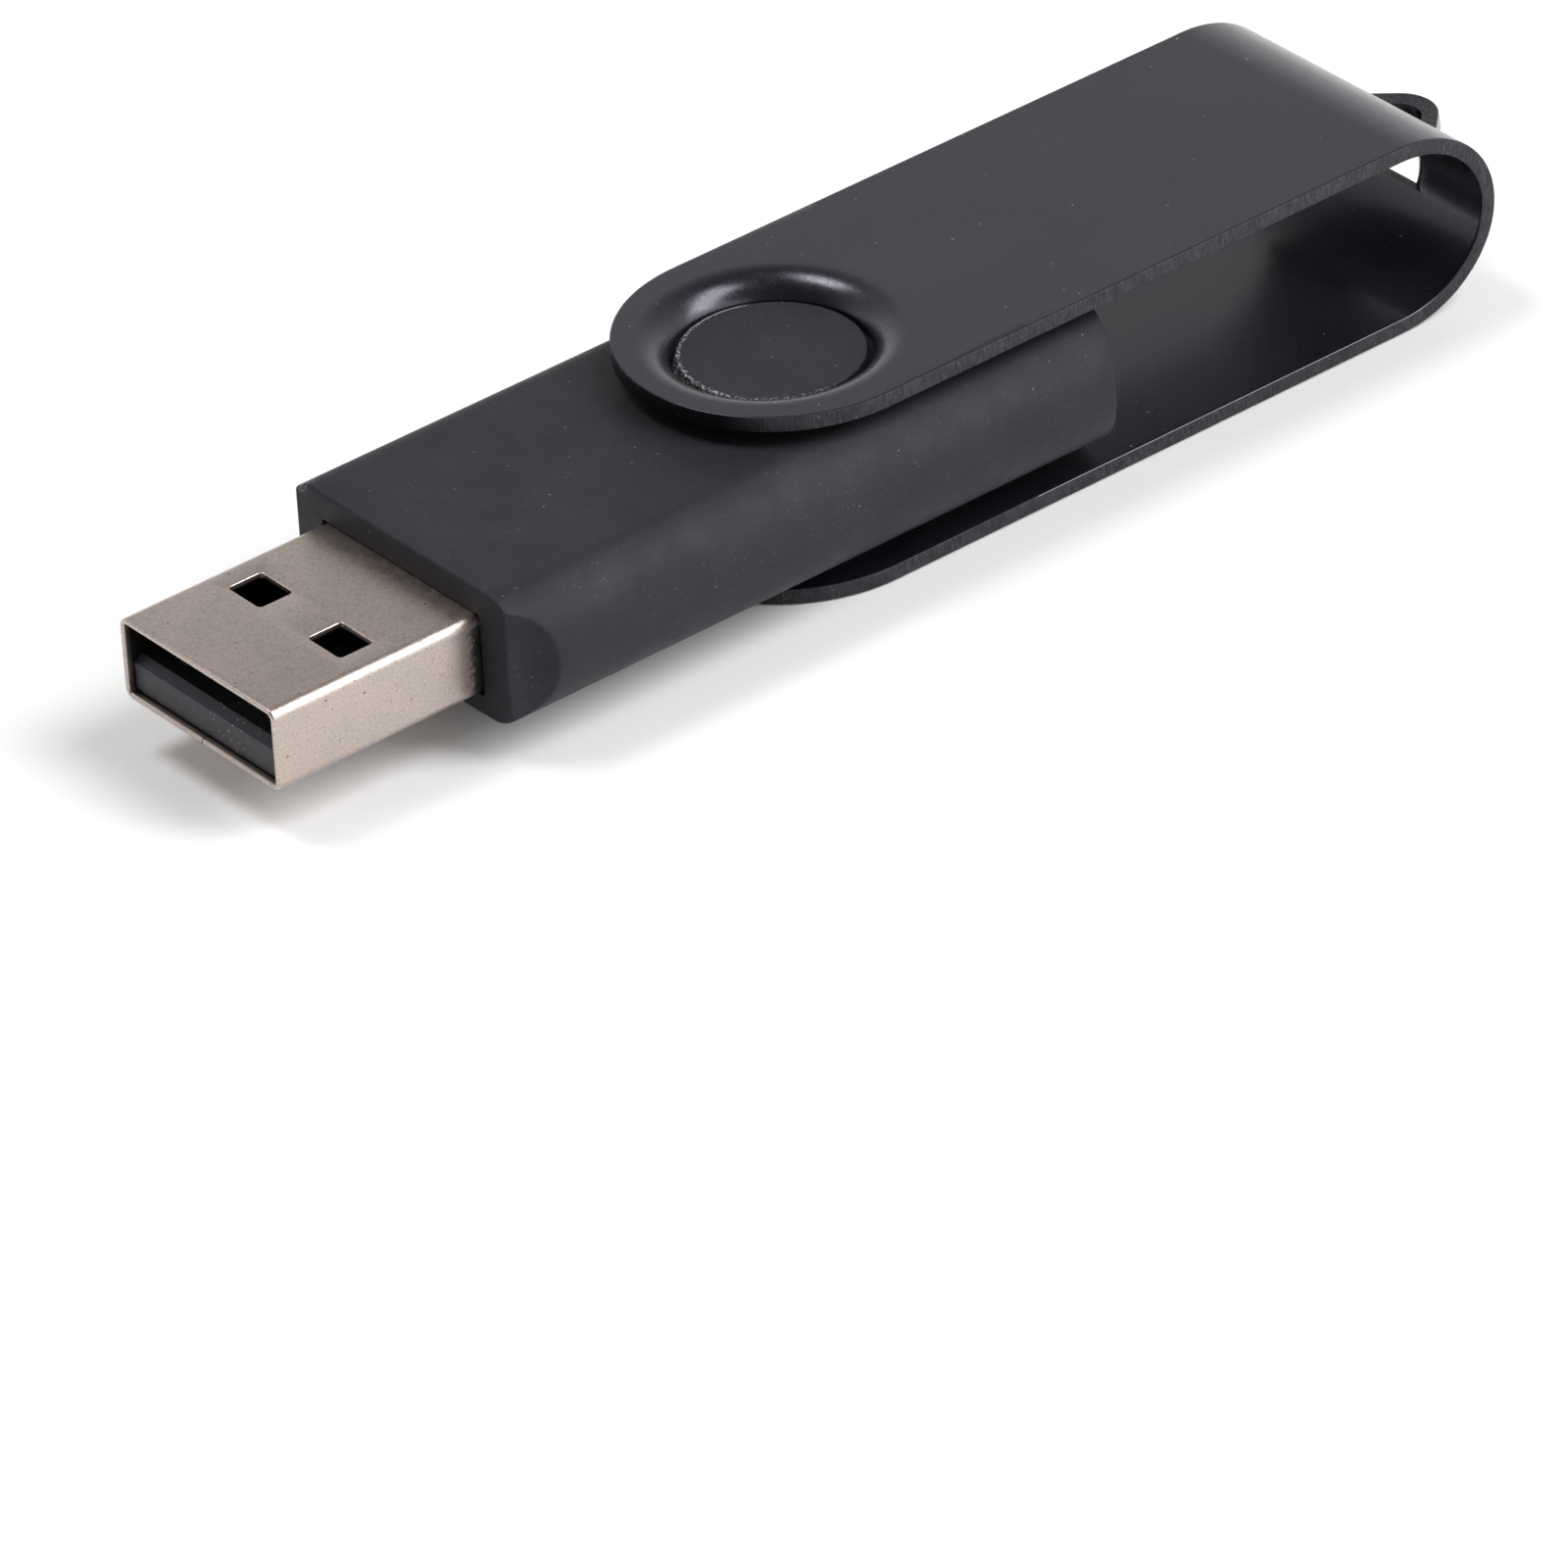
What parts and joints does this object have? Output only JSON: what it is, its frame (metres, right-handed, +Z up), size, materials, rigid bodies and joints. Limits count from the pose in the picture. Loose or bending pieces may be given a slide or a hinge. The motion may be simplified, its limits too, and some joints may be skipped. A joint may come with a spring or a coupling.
{
  "type": "usb flash drive",
  "caption": "Flat black USB flash drive whose bent sheet-metal swivel cover turns on round bosses and carries a key-ring loop.",
  "frame": {"origin": "under the middle of the whole outline, on the plane of the lower cover arm's outer face, on which the drive rests", "axes": "+X along the drive, from the USB plug towards the key-ring loop with the cover swung back, +Z up, square to the broad faces"},
  "size_m": [0.0786, 0.019, 0.0106],
  "materials": {
    "cover_paint": "satin black paint on steel sheet, grainy on the sheared edges",
    "soft_touch_plastic": "matte black soft-touch coating on moulded plastic",
    "plug_nickel": "warm grey nickel plating with fine pits",
    "insulator_plastic": "dark grey moulded plastic",
    "contact_gold": "thin gold plating on bronze strip",
    "board_laminate": "green solder mask on glass laminate",
    "chip_plastic": "matte black moulded package",
    "crystal_steel": "bright metal lid",
    "capacitor_ceramic": "tan ceramic with tinned ends",
    "resistor_ceramic": "black film on ceramic with tinned ends"
  },
  "bodies": {
    "housing": {"housing_top": "soft_touch_plastic", "housing_bottom": "soft_touch_plastic", "plug_shell": "plug_nickel", "plug_insulator": "insulator_plastic", "contact_ground": "contact_gold", "contact_data_plus": "contact_gold", "contact_data_minus": "contact_gold", "contact_power": "contact_gold", "circuit_board": "board_laminate", "memory_chip": "chip_plastic", "controller_chip": "chip_plastic", "crystal": "crystal_steel", "capacitor_1": "capacitor_ceramic", "capacitor_2": "capacitor_ceramic", "capacitor_3": "capacitor_ceramic", "capacitor_4": "capacitor_ceramic", "resistor_1": "resistor_ceramic", "resistor_2": "resistor_ceramic", "resistor_3": "resistor_ceramic", "resistor_4": "resistor_ceramic"},
    "cover": {"swivel_cover": "cover_paint"}
  },
  "joints": [
    {"name": "swivel", "type": "hinge", "parent": "housing", "child": "cover", "pos_m": [-0.00375, 0, 0.0053], "axis": [0, 0, 1], "continuous": true}
  ]
}
